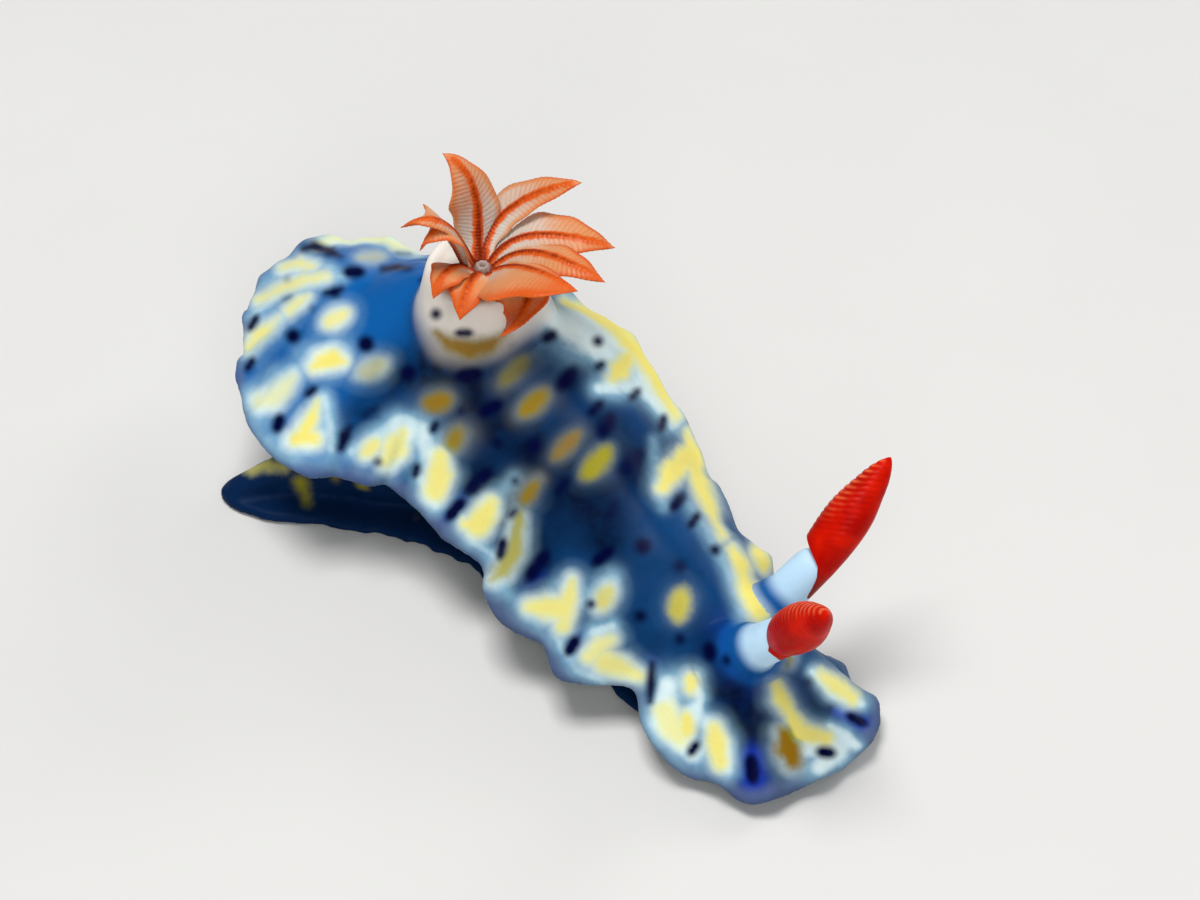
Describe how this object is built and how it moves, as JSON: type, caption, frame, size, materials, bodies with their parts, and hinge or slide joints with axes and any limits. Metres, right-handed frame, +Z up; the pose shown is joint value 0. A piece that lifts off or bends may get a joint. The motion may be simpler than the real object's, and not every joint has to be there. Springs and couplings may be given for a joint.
{
  "type": "hypselodoris infucata sea slug model",
  "caption": "Still life-size sea slug, Hypselodoris infucata: blue mantle with yellow and dark spots, red rhinophores, orange gill plumes.",
  "frame": {"origin": "on the floor, under the middle of the whole model's box", "axes": "+X towards the head, +Y to the slug's left, +Z up from the sole of the foot"},
  "size_m": [0.0312, 0.0128, 0.0159],
  "materials": {
    "mantle": "wet, smooth blue skin with yellow patches, near-black spots and a pale rim",
    "body": "wet, smooth navy skin with yellow streaks",
    "foot": "wet, smooth navy skin with a yellow edge",
    "stalk": "wet, pale blue-white skin",
    "club": "wet, scarlet lamellae",
    "collar": "wet, whitish grey skin",
    "gill": "wet, translucent membrane with orange edges and rachis"
  },
  "bodies": {
    "root": {"mantle_front": "mantle", "mantle_middle": "mantle", "mantle_rear": "mantle", "flank_front": "body", "flank_middle": "body", "flank_rear": "body", "head": "body", "oral_tentacle_left": "body", "oral_tentacle_right": "body", "foot_front": "foot", "foot_middle": "foot", "foot_rear": "foot", "tail": "foot", "rhinophore_stalk_left": "stalk", "rhinophore_stalk_right": "stalk", "rhinophore_club_left": "club", "rhinophore_club_right": "club", "gill_collar": "collar", "gill_papilla": "collar", "gill_plume_01": "gill", "gill_plume_02": "gill", "gill_plume_03": "gill", "gill_plume_04": "gill", "gill_plume_05": "gill", "gill_plume_06": "gill", "gill_plume_07": "gill", "gill_plume_08": "gill", "gill_plume_09": "gill", "gill_plume_10": "gill"}
  },
  "joints": []
}
